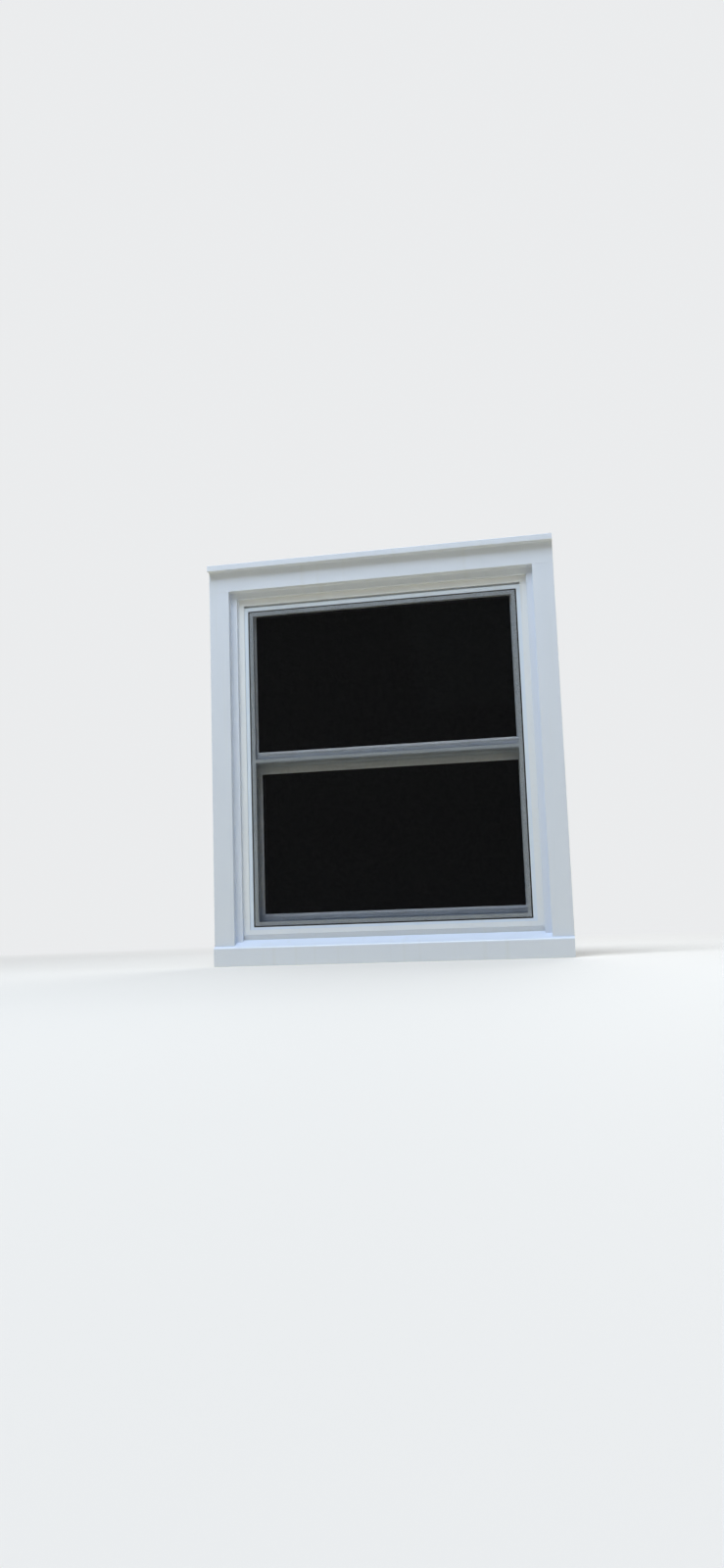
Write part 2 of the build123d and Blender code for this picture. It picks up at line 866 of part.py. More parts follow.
def bead_section(box):
    """Glazing bead with a fine step and a bevel along the glass."""
    start = box + bead_joint
    reach = box + bead_width
    bevel = reach - bead_bevel
    section = outline((start, 0), (bevel, 0), (bevel, bead_quirk), (reach, bead_edge), (reach, bead_depth),
                      (start, bead_depth))
    return rounded(section, bead_round, (start, 0))


def sash_reach(bottom, top):
    """Face widths of the four members of a sash."""
    return {"left": stile_box + bead_width, "right": stile_box + bead_width,
            "bottom": bottom + bead_width, "top": top + bead_width}


def sash_beads(box, front, bottom, top):
    """Four mitred glazing beads."""
    reach = sash_reach(bottom, top)
    widths = {"left": stile_box, "right": stile_box, "bottom": bottom, "top": top}
    return Compound([member(side, box, Pos(0, front) * bead_section(width), reach)
                     for side, width in widths.items()])


def glass_rect(box, bottom, top, cover):
    """Rectangle that laps under the beads by the given cover."""
    reach = sash_reach(bottom, top)
    return (box[0] + reach["left"] - cover, box[1] - reach["right"] + cover,
            box[2] + reach["bottom"] - cover, box[3] - reach["top"] + cover)


def sash_glazing(name, box, front, bottom, top):
    """Two panes and the spacer that keeps them apart."""
    edge = glass_rect(box, bottom, top, glass_cover)
    y = front + glass_front
    outer = along_y(rect(*edge), y, y + pane)
    inner = along_y(rect(*edge), y + pane + air_space, y + 2 * pane + air_space)
    hollow = inset(edge, spacer_inset + spacer_width)
    spacer = ring(inset(edge, spacer_inset), hollow, y + pane, y + pane + air_space)
    return {name + "_glass": Compound([outer, inner]), name + "_spacer": spacer}


def sash_piles(box, front):
    """Pile strips in the outer edges of the stiles."""
    solids = []
    reach = sash_side_gap - pile_gap
    for start in pile_places():
        strip = rect(box[1] - pile_kerf, box[1] + reach, front + start, front + start + pile_width)
        solids.append(along_z(strip, box[2] + pile_end, box[3] - pile_end))
    return solids + [mirror(s, about=Plane.YZ) for s in solids]


def bar_place(box, front):
    """Depth and height of the middle of a sash's pivot bars."""
    return front + sash_depth / 2, box[2] + vinyl_wall + bar_rise + bar_height / 2


def bar_block(box, front, gap, length, reach):
    """Block about the right pivot bar's place, with a gap round it."""
    y, z = bar_place(box, front)
    return block(box[1] + reach - length, box[1] + reach, y - bar_width / 2 - gap, y + bar_width / 2 + gap,
                 z - bar_height / 2 - gap, z + bar_height / 2 + gap)


def bar_room(box, front):
    """Room for the right pivot bar in the sash."""
    return bar_block(box, front, bar_gap, bar_length + bar_end_gap, bar_reach)


def pivot_bars(box, front):
    """Steel bars that stand out of the sash's bottom corners into the balance shoes."""
    bar = bar_block(box, front, 0, bar_length, bar_reach)
    return mirrored(chamfer(bar.faces().sort_by(Axis.X)[-1].edges(), bar_chamfer))


def latch_place(box, front):
    """Depth and height of the middle of a sash's latches."""
    return front + sash_depth / 2, box[3] - vinyl_wall - latch_top_gap - latch_height / 2


def latch_tunnel(box, front):
    """Room that the right latch slides in, with the slot of its button."""
    y, z = latch_place(box, front)
    gap = latch_gap
    inner = box[1] + latch_reach - latch_length - latch_travel - latch_end_gap
    tunnel = block(inner, box[1] + past_cut, y - latch_width / 2 - gap, y + latch_width / 2 + gap,
                   z - latch_height / 2 - gap, z + latch_height / 2 + latch_roof_gap)
    start = box[1] + latch_reach - latch_length + button_inset
    slot = block(start - latch_travel - gap, start + button_length + gap,
                 y - button_width / 2 - gap, y + button_width / 2 + gap, z, box[3] + past_cut)
    return tunnel + slot


def latch(box, front):
    """Right tilt latch: a bolt with a sloped nose and a ribbed button."""
    y, z = latch_place(box, front)
    tip = box[1] + latch_reach
    start = tip - latch_length
    bolt = block(start, tip, y - latch_width / 2, y + latch_width / 2,
                 z - latch_height / 2, z + latch_height / 2)
    nose = bolt.edges().filter_by(Axis.Z).group_by(Axis.X)[-1].sort_by(Axis.Y)[-1]
    bolt = chamfer(nose, latch_reach - nose_flat, nose_length)
    low = start + button_inset
    button = block(low, low + button_length, y - button_width / 2, y + button_width / 2,
                   z + latch_height / 2 - button_root, box[3] + button_rise)
    solid = bolt + button
    top = box[3] + button_rise
    for step in range(button_ribs):
        first = low + rib_pitch * (step + 1)
        solid -= block(first, first + rib_width, y - button_width, y + button_width,
                       top - rib_depth, top + past_cut)
    return solid


def sash_frame(name, box, front, bottom, top):
    """Two stiles of a sash, cut for the pivot bars and the latches."""
    reach = sash_reach(bottom, top)
    section = Pos(0, front) * with_kerfs(sash_section(stile_box))
    cut = bar_room(box, front) + latch_tunnel(box, front)
    right = member("right", box, section, reach) - cut
    return {name + "_right_stile": right, name + "_left_stile": mirror(right, about=Plane.YZ)}


def cut_both(solid, tool):
    """The solid less the tool and less its mirror image."""
    return solid - tool - mirror(tool, about=Plane.YZ)


def lower_sash():
    """Pieces of the inner, lower sash."""
    box, upper = sash_boxes()
    front = lower_face
    bottom, top = bottom_rail_box, check_rail_box
    reach = sash_reach(bottom, top)
    nodes = sash_frame("lower", box, front, bottom, top)
    check = member("top", box, Pos(0, front) * sash_section(top), reach)
    plane = Plane(origin=(-fin_half(), 0, box[3]), x_dir=(0, 0, -1), z_dir=(1, 0, 0))
    check += extrude(plane * (Pos(0, front) * lower_check_fin()), amount=2 * fin_half())
    nodes["lower_check_rail"] = cut_both(check, latch_tunnel(box, front))
    seal = rect(-past_cut, pile_kerf, (sash_depth - seal_width) / 2, (sash_depth + seal_width) / 2)
    rail = member("bottom", box, Pos(0, front) * (sash_section(bottom) - seal), reach)
    half = fin_half() - lift_end
    plane = Plane(origin=(half, 0, box[2]), x_dir=(0, 0, 1), z_dir=(-1, 0, 0))
    rail += extrude(plane * (Pos(0, front) * lift_section()), amount=2 * half)
    nodes["lower_bottom_rail"] = cut_both(rail, bar_room(box, front))
    nodes.update(sash_glazing("lower", box, front, bottom, top))
    nodes["lower_glazing_beads"] = sash_beads(box, front, bottom, top)
    middle = front + sash_depth / 2
    strip = block(box[0] + seal_end, box[1] - seal_end, middle - seal_width / 2, middle + seal_width / 2,
                  box[2] - sash_sill_gap + seal_skin, box[2] + pile_kerf)
    nodes["lower_weatherstrips"] = Compound(sash_piles(box, front) + [strip])
    nodes["lower_pivot_bars"] = pivot_bars(box, front)
    nodes["lower_balance_shoes"] = balance_shoes(box, front)
    return nodes


def upper_sash():
    """Pieces of the outer, upper sash."""
    lower, box = sash_boxes()
    front = upper_face
    bottom = top = stile_box
    reach = sash_reach(bottom, top)
    nodes = sash_frame("upper", box, front, bottom, top)
    rail = member("top", box, Pos(0, front) * sash_section(top), reach)
    nodes["upper_top_rail"] = cut_both(rail, latch_tunnel(box, front))
    section, fin = check_section()
    check = member("bottom", box, Pos(0, front) * section, reach)
    plane = Plane(origin=(fin_half(), 0, box[2]), x_dir=(0, 0, 1), z_dir=(-1, 0, 0))
    check += extrude(plane * (Pos(0, front) * fin), amount=2 * fin_half())
    nodes["upper_check_rail"] = cut_both(check, bar_room(box, front))
    nodes.update(sash_glazing("upper", box, front, bottom, top))
    nodes["upper_glazing_beads"] = sash_beads(box, front, bottom, top)
    nodes["upper_weatherstrips"] = Compound(sash_piles(box, front))
    nodes["upper_pivot_bars"] = pivot_bars(box, front)
    nodes["upper_balance_shoes"] = balance_shoes(box, front)
    return nodes


# Balances

def pocket_block(y, z0, z1, gap):
    """Block that fits in the right jamb's pocket with the given gap all round."""
    deep = half_unit - vinyl_wall
    return block(deep - (track_floor - 2 * vinyl_wall) + gap, deep - gap,
                 y - pocket_width / 2 + gap, y + pocket_width / 2 - gap, z0, z1)


def shoe_bottom(box):
    """Height of the underside of a balance shoe."""
    return box[2] + shoe_rise


def balance_shoes(box, front):
    """Plastic shoes that slide in the pockets and hold the pivot bars in a turning cam."""
    y, z = bar_place(box, front)
    low = shoe_bottom(box)
    shoe = pocket_block(y, low, low + shoe_height, shoe_gap)
    shoe = chamfer(shoe.edges().filter_by(Axis.X), shoe_chamfer)
    inner = half_unit - track_floor + vinyl_wall
    half = bar_width / 2
    groove = Cylinder(half + ring_outer, ring_deep) - Cylinder(half + ring_inner, ring_deep)
    shoe -= Pos(inner + shoe_gap, y, z + ring_rise) * Rot(0, 90, 0) * groove
    shoe -= bar_block(box, front, bar_fit, bar_length, bar_reach)
    return mirrored(shoe)


def balance_coils():
    """Four housings with their coiled springs, fixed high in the pockets."""
    solids = []
    for track, low in ((inner_track, lower_coil), (outer_track, unit_top - upper_coil_drop)):
        y = pocket_middle(track)
        housing = pocket_block(y, low, low + coil_height, coil_gap)
        middle = low + coil_height / 2
        inner = half_unit - track_floor + vinyl_wall
        drum = Cylinder(drum_outer, drum_deep) - Cylinder(drum_inner, drum_deep)
        housing -= Pos(inner + coil_gap, y, middle) * Rot(0, 90, 0) * drum
        solids += [housing, mirror(housing, about=Plane.YZ)]
    return Compound(solids)


def tapes(box, front, coil_low):
    """Spring tapes from the coils down to the shoes."""
    y, z = bar_place(box, front)
    x = half_unit - track_floor / 2
    tape = block(x - tape_thickness / 2, x + tape_thickness / 2, y - tape_width / 2, y + tape_width / 2,
                 shoe_bottom(box) + shoe_height, coil_low)
    return mirrored(tape)


# Sash locks

def sector(inner, outer, middle, half_angle):
    """Part of a ring about the origin, from middle - half_angle to middle + half_angle degrees."""
    start, end = math.radians(middle - half_angle), math.radians(middle + half_angle)
    mid = math.radians(middle)

    def at(radius, angle):
        return (radius * math.cos(angle), radius * math.sin(angle))

    far = ThreePointArc(at(outer, start), at(outer, mid), at(outer, end))
    if inner == 0:
        return make_face([far, Line(at(outer, end), (0, 0)), Line((0, 0), at(outer, start))])
    close = ThreePointArc(at(inner, end), at(inner, mid), at(inner, start))
    first, last = Line(at(outer, end), at(inner, end)), Line(at(inner, start), at(outer, start))
    return make_face([far, first, close, last])


def lock_pivot():
    """Place of the right lock's axis on top of the lower sash's check rail."""
    return lock_offset, lower_face + lock_setback, lower_top


def lock_bases():
    """Plates under the two lock cams."""
    x, y, z = lock_pivot()
    plate = RectangleRounded(base_length, base_width, base_round)
    base = extrude(plate, amount=lock_base_height)
    base = chamfer(base.faces().sort_by(Axis.Z)[-1].edges(), small_chamfer)
    return mirrored(Pos(x, lower_face + base_setback, z) * base)


def lock_cam():
    """Right cam with its hub and thumb lever, in the unlocked position."""
    x, y, z = lock_pivot()
    low = z + lock_base_height + cam_gap
    middle = outward + lock_angle
    rim = sector(cam_radius - cam_rim, cam_radius, middle, cam_half_angle)
    web = sector(0, cam_radius, middle + cam_half_angle + web_turn, web_half_angle)
    cam = extrude(rim + web + Circle(hub_radius), amount=cam_height)
    lever = Polyline((0, -lever_root), (lever_taper, -lever_tip), (lever_length, -lever_tip),
                     (lever_length, lever_tip), (lever_taper, lever_tip), (0, lever_root), close=True)
    lever = make_face(lever) + Circle(hub_radius)
    turned = Rot(0, 0, middle + lever_turn) * lever
    lever = extrude(Pos(0, 0, cam_height) * turned, amount=lever_height)
    top = lever.faces().sort_by(Axis.Z)[-1].edges()
    lever = chamfer(top, small_chamfer)
    return Pos(x, y, low) * (cam + lever)


def keepers():
    """Catches on the upper sash's ledge, each with a hook and a roof curved about its lock's axis."""
    x, y, z = lock_pivot()
    edge = upper_face + sash_depth + keeper_gap
    x0, x1 = x - keeper_half, x + keeper_half
    base = block(x0, x1, upper_face + leg_back + keeper_gap, edge, z, z + keeper_base)
    outer = cam_radius - cam_rim - hook_gap
    roof_height = lock_base_height + cam_height + 2 * hook_gap
    inner = outer - hook_rim
    hook = extrude(sector(inner, outer, outward, hook_half_angle), amount=roof_height - keeper_base)
    roof = extrude(sector(inner, cam_radius, outward, hook_half_angle), amount=keeper_roof)
    hook = Pos(x, y, z + keeper_base) * hook + Pos(x, y, z + roof_height) * roof
    hook = hook & block(x0, x1, 0, edge, z, z + past_end)
    return mirrored(base + hook)


def balances():
    """Coils and tapes."""
    lower, upper = sash_boxes()
    return {
        "balance_coils": balance_coils(),
        "lower_balance_tapes": tapes(lower, lower_face, lower_coil),
        "upper_balance_tapes": tapes(upper, upper_face, unit_top - upper_coil_drop),
    }


def hardware():
    """Locks, keepers and tilt latches."""
    lower, upper = sash_boxes()
    cam = lock_cam()
    nodes = {"lock_bases": lock_bases(), "keepers": keepers(),
             "right_lock_cam": cam, "left_lock_cam": mirror(cam, about=Plane.YZ)}
    for name, box, front in (("lower", lower, lower_face), ("upper", upper, upper_face)):
        right = latch(box, front)
        nodes[name + "_right_latch"] = right
        nodes[name + "_left_latch"] = mirror(right, about=Plane.YZ)
    return nodes


def wood():
    """All wood pieces."""
    nodes = {"sill_board": sill_board(), "cap_board": cap_board(),
             "blind_stops": blind_stops(), "inner_stops": inner_stops()}
    nodes.update(jambs())
    nodes.update(casings())
    return nodes


def cladding():
    """All folded aluminium."""
    right = side_cladding()
    return {"head_cladding": head_cladding(), "cap_cladding": cap_cladding(),
            "sill_cladding": sill_cladding(), "right_cladding": right,
            "left_cladding": mirror(right, about=Plane.YZ)}


def build():
    """Every piece of the window by its name."""
    nodes = {}
    for group in (wood, cladding, unit_frame, screen, upper_sash, lower_sash, balances, hardware):
        nodes.update(group())
    nodes["shims"] = shims()
    nodes["jamb_screws"] = jamb_screws()
    return nodes


os.makedirs("parts", exist_ok=True)
for node, solid in build().items():
    export_step(solid, os.path.join("parts", node + ".step"))
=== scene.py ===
"""Looks of a sash window with an insect screen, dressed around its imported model.

Metres. +X is to the right seen from outside, +Y runs into the house, +Z is up.
"""

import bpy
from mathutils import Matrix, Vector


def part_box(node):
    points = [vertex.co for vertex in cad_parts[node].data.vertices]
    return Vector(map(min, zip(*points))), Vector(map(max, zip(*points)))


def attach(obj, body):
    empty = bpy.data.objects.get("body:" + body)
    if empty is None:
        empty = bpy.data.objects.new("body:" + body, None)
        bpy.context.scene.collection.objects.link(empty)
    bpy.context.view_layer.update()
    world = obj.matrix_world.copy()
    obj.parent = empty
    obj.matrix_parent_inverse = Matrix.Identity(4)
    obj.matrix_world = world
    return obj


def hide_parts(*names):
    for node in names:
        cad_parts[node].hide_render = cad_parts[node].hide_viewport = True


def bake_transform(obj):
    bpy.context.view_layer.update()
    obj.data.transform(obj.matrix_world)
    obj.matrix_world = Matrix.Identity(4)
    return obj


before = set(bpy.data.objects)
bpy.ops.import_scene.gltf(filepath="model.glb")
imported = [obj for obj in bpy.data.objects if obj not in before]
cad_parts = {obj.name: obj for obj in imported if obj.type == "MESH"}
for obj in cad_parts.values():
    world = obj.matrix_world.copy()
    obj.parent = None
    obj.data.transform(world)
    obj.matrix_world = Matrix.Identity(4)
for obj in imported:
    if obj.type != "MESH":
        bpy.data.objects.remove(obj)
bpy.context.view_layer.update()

import logging
import math
from dataclasses import dataclass
from enum import Enum

import bpy
import numpy as np
from mathutils import Matrix, Vector

log = logging.getLogger("sash_window")

Triple = tuple[float, float, float]
Socket = bpy.types.NodeSocket

MM = 0.001
INCH_IN_MM = 25.4

# The colour sockets of Blender's Mix node share their names with its other sockets.
MIX_FIRST, MIX_SECOND, MIX_RESULT = 6, 7, 2


class Grain(Enum):
    """Way in which the grain or the rolling marks of a piece run."""

    UPRIGHT = (1.0, 1.0, 0.04)
    LEVEL = (0.04, 1.0, 1.0)
    NONE = (1.0, 1.0, 1.0)


# Materials


@dataclass(frozen=True)
class Pattern:
    """Smooth noise over a surface, with the tone and the relief that it gives.

    Attributes:
        scale: Cells in a metre.
        detail: Octaves.
        low: Tone where the noise is low.
        high: Tone where it is high.
        bottom: Value of the noise up to which the tone is low.
        top: Value from which it is high.
        depth: Height of the relief in metres.
        strength: Share of the relief that shows.
    """

    scale: float
    detail: float
    low: float = 0.0
    high: float = 1.0
    bottom: float = 0.3
    top: float = 0.7
    depth: float = 0.0
    strength: float = 0.5


class Board:
    """Node tree, with short calls for the nodes that the finishes, floor and world share."""

    def __init__(self, tree: bpy.types.NodeTree) -> None:
        """Takes up a tree.

        Args:
            tree: The tree.
        """
        self.tree = tree

    def node(self, kind: str, **inputs: object) -> bpy.types.Node:
        """Adds a node and sets its inputs or properties by name.

        Args:
            kind: Blender's name of the node type.
            inputs: Values by input name with underscores for spaces, or by property name.

        Returns:
            The node.
        """
        made = self.tree.nodes.new(kind)
        for key, value in inputs.items():
            if hasattr(made, key):
                setattr(made, key, value)
            else:
                made.inputs[key.replace("_", " ")].default_value = value
        return made

    def link(self, start: Socket, end: Socket) -> None:
        """Joins two sockets.

        Args:
            start: Output.
            end: Input.
        """
        self.tree.links.new(start, end)

    def places(self, stretch: Triple = Grain.NONE.value) -> Socket:
        """Object coordinates, stretched along the axes.

        Args:
            stretch: Factor for each axis; a small one draws a pattern out along it.

        Returns:
            The coordinates' socket.
        """
        where = self.node("ShaderNodeTexCoord")
        turned = self.node("ShaderNodeMapping")
        turned.inputs["Scale"].default_value = stretch
        self.link(where.outputs["Object"], turned.inputs["Vector"])
        return turned.outputs["Vector"]

    def noise(self, pattern: Pattern, grain: Grain) -> Socket:
        """Smooth noise over the surface.

        Args:
            pattern: Its scale and detail.
            grain: Way in which it is drawn out.

        Returns:
            The noise's value.
        """
        made = self.node("ShaderNodeTexNoise", Scale=pattern.scale, Detail=pattern.detail)
        self.link(self.places(grain.value), made.inputs["Vector"])
        return made.outputs["Fac"]

    def spread(self, value: Socket, low: float, high: float, bottom: float, top: float) -> Socket:
        """Maps a value smoothly from one range to another.

        Args:
            value: What is mapped.
            low: Result at and below bottom.
            high: Result at and above top.
            bottom: Lower end of the value's range.
            top: Upper end of the value's range.

        Returns:
            The mapped value.
        """
        made = self.node("ShaderNodeMapRange", interpolation_type="SMOOTHSTEP")
        ends = {"From Min": bottom, "From Max": top, "To Min": low, "To Max": high}
        for name, number in ends.items():
            made.inputs[name].default_value = number
        self.link(value, made.inputs["Value"])
        return made.outputs["Result"]

    def tone(self, pattern: Pattern, grain: Grain = Grain.NONE, middle: float = 0.0) -> Socket:
        """Tone of a pattern.

        Args:
            pattern: The pattern.
            grain: Way in which it is drawn out.
            middle: Value that the tone is added to.

        Returns:
            The tone, or the sum.
        """
        return self.spread(self.noise(pattern, grain), middle + pattern.low, middle + pattern.high,
                           pattern.bottom, pattern.top)

    def relief(self, pattern: Pattern, grain: Grain = Grain.NONE,
               under: Socket | None = None) -> Socket:
        """Relief of a pattern.

        Args:
            pattern: The pattern.
            grain: Way in which it is drawn out.
            under: A normal that the relief is added to.

        Returns:
            The normal.
        """
        made = self.node("ShaderNodeBump", Strength=pattern.strength, Distance=pattern.depth)
        self.link(self.noise(pattern, grain), made.inputs["Height"])
        if under is not None:
            self.link(under, made.inputs["Normal"])
        return made.outputs["Normal"]

    def blend(self, factor: Socket, first: Socket | Triple, second: Socket | Triple) -> Socket:
        """Mixes two colours.

        Args:
            factor: Share of the second colour.
            first: A colour, or a socket that gives one.
            second: A colour, or a socket that gives one.

        Returns:
            The mixed colour.
        """
        made = self.node("ShaderNodeMix", data_type="RGBA")
        self.link(factor, made.inputs["Factor"])
        for key, colour in ((MIX_FIRST, first), (MIX_SECOND, second)):
            if isinstance(colour, Socket):
                self.link(colour, made.inputs[key])
            else:
                made.inputs[key].default_value = (*colour, 1.0)
        return made.outputs[MIX_RESULT]

    def reckon(self, operation: str, first: Socket, second: Socket) -> Socket:
        """Reckons with two values.

        Args:
            operation: Blender's name of the operation.
            first: First value.
            second: Second value.

        Returns:
            The result.
        """
        made = self.node("ShaderNodeMath", operation=operation)
        self.link(first, made.inputs[0])
        self.link(second, made.inputs[1])
        return made.outputs[0]

    def mix(self, factor: Socket, first: Socket, second: Socket) -> Socket:
        """Mixes two shaders.

        Args:
            factor: Share of the second shader.
            first: First shader.
            second: The second shader.

        Returns:
            The mixed shader.
        """
        made = self.node("ShaderNodeMixShader")
        self.link(factor, made.inputs["Fac"])
        self.link(first, made.inputs[1])
        self.link(second, made.inputs[2])
        return made.outputs["Shader"]

    def seen(self) -> Socket:
        """Whether a ray runs from the eye, a shine or clear glass: the greatest of the three.

        Returns:
            One where it does, and nought where it gathers light for a matt surface.
        """
        ray = self.node("ShaderNodeLightPath")
        glass = self.reckon("MAXIMUM", ray.outputs["Is Glossy Ray"],
                            ray.outputs["Is Transmission Ray"])
        return self.reckon("MAXIMUM", ray.outputs["Is Camera Ray"], glass)


class MaterialBoard(Board):
    """Node tree of a new material."""

    def __init__(self, name: str) -> None:
        """Starts the material.

        Args:
            name: Name of the material.
        """
        self.material = bpy.data.materials.new(name)
        self.material.use_nodes = True
        super().__init__(self.material.node_tree)
        self.shader = self.tree.nodes["Principled BSDF"]

    def set(self, **values: object) -> None:
        """Sets or links inputs of the shader.

        Args:
            values: Numbers, colours or sockets by input name, with underscores for spaces.
        """
        for key, value in values.items():
            socket = self.shader.inputs[key.replace("_", " ")]
            if isinstance(value, Socket):
                self.link(value, socket)
            elif isinstance(value, tuple):
                socket.default_value = (*value, 1.0)
            else:
                socket.default_value = value


@dataclass(frozen=True)
class CoilStock:
    """Folded aluminium sheet with a baked white coat, a little wavy and streaked by rain; its
    colour is tinted blue, a painted cast of sky light.
    """

    # The blue tint on this white coat is painted sky light.
    colour: Triple = (0.57, 0.665, 0.83)
    streak: Triple = (0.52, 0.60, 0.70)
    rough: float = 0.36
    rain: Pattern = Pattern(34.0, 4.0, high=0.34, bottom=0.52, top=0.74)
    cloud: Pattern = Pattern(5.0, 2.0, high=0.22)
    clouded: float = 0.965
    polish: Pattern = Pattern(60.0, 3.0, low=-0.05, high=0.08)
    wave: Pattern = Pattern(7.0, 1.0, depth=0.6 * MM, strength=0.5)
    skin: Pattern = Pattern(2600.0, 2.0, depth=0.02 * MM, strength=0.35)
    coat: float = 0.12
    coat_rough: float = 0.2

    def build(self, name: str, grain: Grain) -> bpy.types.Material:
        """Makes the material.

        Args:
            name: Name of the material.
            grain: Way in which the sheet was rolled.

        Returns:
            The material.
        """
        board = MaterialBoard(name)
        dull = tuple(self.clouded * share for share in self.colour)
        paint = board.blend(board.tone(self.cloud), self.colour, dull)
        wave = board.relief(self.wave, grain)
        board.set(Base_Color=board.blend(board.tone(self.rain, Grain.UPRIGHT), paint, self.streak),
                  Roughness=board.tone(self.polish, grain, self.rough),
                  Normal=board.relief(self.skin, under=wave),
                  Coat_Weight=self.coat, Coat_Roughness=self.coat_rough)
        return board.material


@dataclass(frozen=True)
class ExtrudedVinyl:
    """White vinyl with a soft shine, faint die lines and a little grime; its colour is tinted
    blue, a painted cast of sky light.
    """

    # The blue tint on this white vinyl is painted sky light.
    colour: Triple = (0.63, 0.71, 0.82)
    grime: Triple = (0.54, 0.56, 0.58)
    rough: float = 0.3
    dust: Pattern = Pattern(90.0, 5.0, high=0.16, bottom=0.5, top=0.8)
    cloud: Pattern = Pattern(9.0, 2.0, high=0.3)
    clouded: float = 0.97
    polish: Pattern = Pattern(40.0, 3.0, low=-0.04, high=0.1)
    lines: Pattern = Pattern(900.0, 1.0, depth=0.03 * MM, strength=0.3)
    wave: Pattern = Pattern(14.0, 1.0, depth=0.3 * MM, strength=0.35)

    def build(self, name: str, grain: Grain) -> bpy.types.Material:
        """Makes the material.

        Args:
            name: Name of the material.
            grain: Way in which the profile was drawn.

        Returns:
            The material.
        """
        board = MaterialBoard(name)
        dull = tuple(self.clouded * share for share in self.colour)
        clean = board.blend(board.tone(self.cloud), self.colour, dull)
        lines = board.relief(self.lines, grain)
        board.set(Base_Color=board.blend(board.tone(self.dust), clean, self.grime),
                  Roughness=board.tone(self.polish, grain, self.rough),
                  Normal=board.relief(self.wave, grain, lines))
        return board.material


@dataclass(frozen=True)
class PaintedPine:
    """Smooth pine under white paint, with brush marks along the grain."""

    colour: Triple = (0.69, 0.71, 0.73)
    hollow: Triple = (0.62, 0.62, 0.61)
    brush: Pattern = Pattern(260.0, 4.0, high=0.5, depth=0.08 * MM, strength=0.5)
    polish: Pattern = Pattern(30.0, 3.0, low=0.38, high=0.55)
    wood: Pattern = Pattern(70.0, 6.0, depth=0.25 * MM, strength=0.4)

    def build(self, name: str, grain: Grain) -> bpy.types.Material:
        """Makes the material.

        Args:
            name: Name of the material.
            grain: Way in which the wood and the brush ran.

        Returns:
            The material.
        """
        board = MaterialBoard(name)
        wood = board.relief(self.wood, grain)
        board.set(Base_Color=board.blend(board.tone(self.brush, grain), self.colour, self.hollow),
                  Roughness=board.tone(self.polish, grain),
                  Normal=board.relief(self.brush, grain, wood))
        return board.material


@dataclass(frozen=True)
class BarePine:
    """Unpainted softwood with darker late growth."""

    light: Triple = (0.66, 0.47, 0.27)
    dark: Triple = (0.42, 0.25, 0.12)
    rings: Pattern = Pattern(210.0, 5.0, bottom=0.35, top=0.65, depth=0.2 * MM, strength=0.6)
    fuzz: Pattern = Pattern(210.0, 5.0, low=0.6, high=0.8)

    def build(self, name: str, grain: Grain) -> bpy.types.Material:
        """Makes the material.

        Args:
            name: Name of the material.
            grain: Way in which the grain runs.

        Returns:
            The material.
        """
        board = MaterialBoard(name)
        board.set(Base_Color=board.blend(board.tone(self.rings, grain), self.light, self.dark),
                  Roughness=board.tone(self.fuzz, grain), Normal=board.relief(self.rings, grain))
        return board.material


@dataclass(frozen=True)
class WindowGlass:
    """Glass tinted almost black, painted shade standing in for the unlit room behind it; nearly
    flat, with faint smears.
    """

    # Near-black tint: painted shade of the room behind the glass.
    colour: Triple = (0.018, 0.021, 0.022)
    bending: float = 1.46
    smears: Pattern = Pattern(11.0, 4.0, low=0.012, high=0.05, bottom=0.45, top=0.8)
    wave: Pattern = Pattern(3.2, 1.0, depth=0.25 * MM, strength=0.25)

    def build(self, name: str, grain: Grain) -> bpy.types.Material:
        """Makes the material.

        Args:
            name: Name of the material.
            grain: Way in which the smears run.

        Returns:
            The material.
        """
        board = MaterialBoard(name)
        board.set(Base_Color=self.colour, Transmission_Weight=1.0, IOR=self.bending,
                  Roughness=board.tone(self.smears, grain), Normal=board.relief(self.wave))
        return board.material


@dataclass(frozen=True)
class Metal:
    """Bare or plated metal with fine lines and stains."""

    colour: Triple
    stain: Triple
    rough: float
    stains: Pattern = Pattern(120.0, 4.0, high=0.7)
    polish: Pattern = Pattern(700.0, 2.0, low=-0.06, high=0.12)
    lines: Pattern = Pattern(1500.0, 2.0, depth=0.02 * MM, strength=0.4)

    def build(self, name: str, grain: Grain) -> bpy.types.Material:
        """Makes the material.

        Args:
            name: Name of the material.
            grain: Way in which the lines run.

        Returns:
            The material.
        """
        board = MaterialBoard(name)
        board.set(Base_Color=board.blend(board.tone(self.stains), self.colour, self.stain),
                  Metallic=1.0, Roughness=board.tone(self.polish, grain, self.rough),
                  Normal=board.relief(self.lines, grain))
        return board.material


@dataclass(frozen=True)
class Moulding:
    """Moulded plastic, rubber or thick paint with a fine skin."""

    colour: Triple
    worn: Triple
    rough: float
    shine: float = 0.5
    wear: Pattern = Pattern(75.0, 4.0)
    polish: Pattern = Pattern(160.0, 3.0, low=-0.05, high=0.09)
    skin: Pattern = Pattern(1200.0, 3.0, depth=0.03 * MM, strength=0.5)

    def build(self, name: str, grain: Grain) -> bpy.types.Material:
        """Makes the material.

        Args:
            name: Name of the material.
            grain: Way in which the skin is drawn out.

        Returns:
            The material.
        """
        board = MaterialBoard(name)
        board.set(Base_Color=board.blend(board.tone(self.wear), self.colour, self.worn),
                  Roughness=board.tone(self.polish, middle=self.rough),
                  Normal=board.relief(self.skin, grain), Specular_IOR_Level=self.shine)
        return board.material


